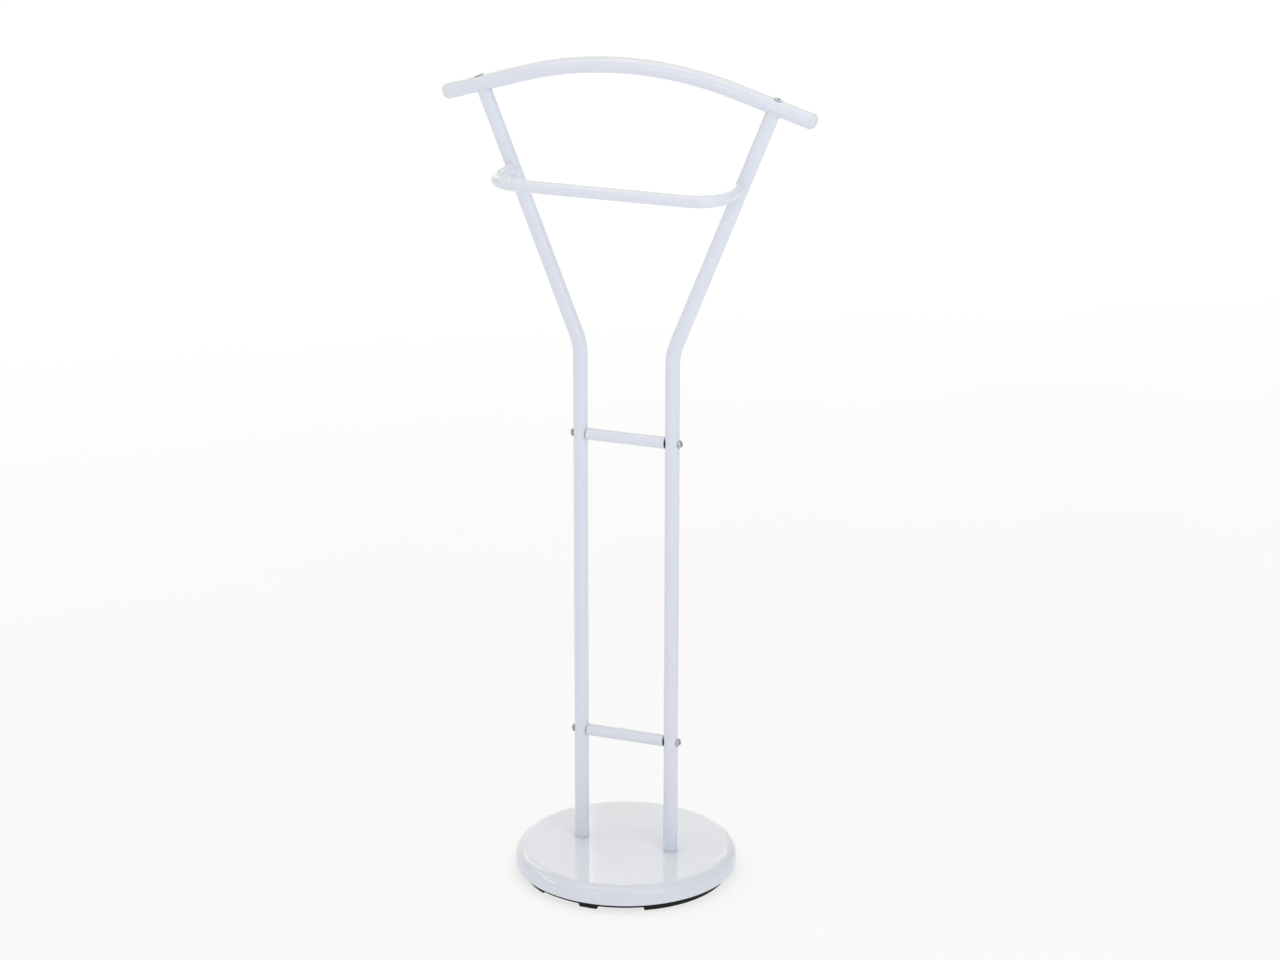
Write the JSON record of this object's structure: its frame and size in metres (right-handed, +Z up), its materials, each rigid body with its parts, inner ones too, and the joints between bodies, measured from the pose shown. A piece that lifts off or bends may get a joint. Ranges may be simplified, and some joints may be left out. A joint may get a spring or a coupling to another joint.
{
  "type": "valet stand",
  "caption": "Free-standing valet stand with a weighted round base, uprights that lean out into a V, a curved shoulder bar, a U-shaped trouser bar and rungs.",
  "frame": {"origin": "on the floor, at the centre of the round base", "axes": "+Z up, +X to the stand's right as seen from the front, -Y to the front, where the trouser bar is"},
  "size_m": [0.4746, 0.28, 1.0423],
  "materials": {
    "white_enamel": "glossy powder coat on steel tube and sheet",
    "white_plastic": "smooth moulded plastic, slightly warmer than the enamel",
    "black_plastic": "black moulded plastic, fine texture",
    "zinc_steel": "bright zinc-plated steel",
    "insert_brass": "turned brass",
    "ballast_concrete": "cast concrete, unfinished"
  },
  "bodies": {
    "root": {"base_cover": "white_enamel", "base_weight": "ballast_concrete", "base_tray": "black_plastic", "foot_bolts": "zinc_steel", "foot_washers": "zinc_steel", "foot_inserts": "insert_brass", "left_foot_plug": "white_plastic", "right_foot_plug": "white_plastic", "left_upright": "white_enamel", "right_upright": "white_enamel", "upper_rung": "white_enamel", "lower_rung": "white_enamel", "upper_rung_left_plug": "black_plastic", "upper_rung_right_plug": "black_plastic", "lower_rung_left_plug": "black_plastic", "lower_rung_right_plug": "black_plastic", "rung_inserts": "insert_brass", "rung_screws": "zinc_steel", "trouser_bar": "white_enamel", "left_trouser_plug": "white_plastic", "right_trouser_plug": "white_plastic", "trouser_inserts": "insert_brass", "trouser_screws": "zinc_steel", "shoulder_bar": "white_enamel", "left_arm_plug": "white_plastic", "right_arm_plug": "white_plastic", "shoulder_inserts": "insert_brass", "shoulder_screws": "zinc_steel", "left_end_cap": "white_plastic", "right_end_cap": "white_plastic"}
  },
  "joints": []
}
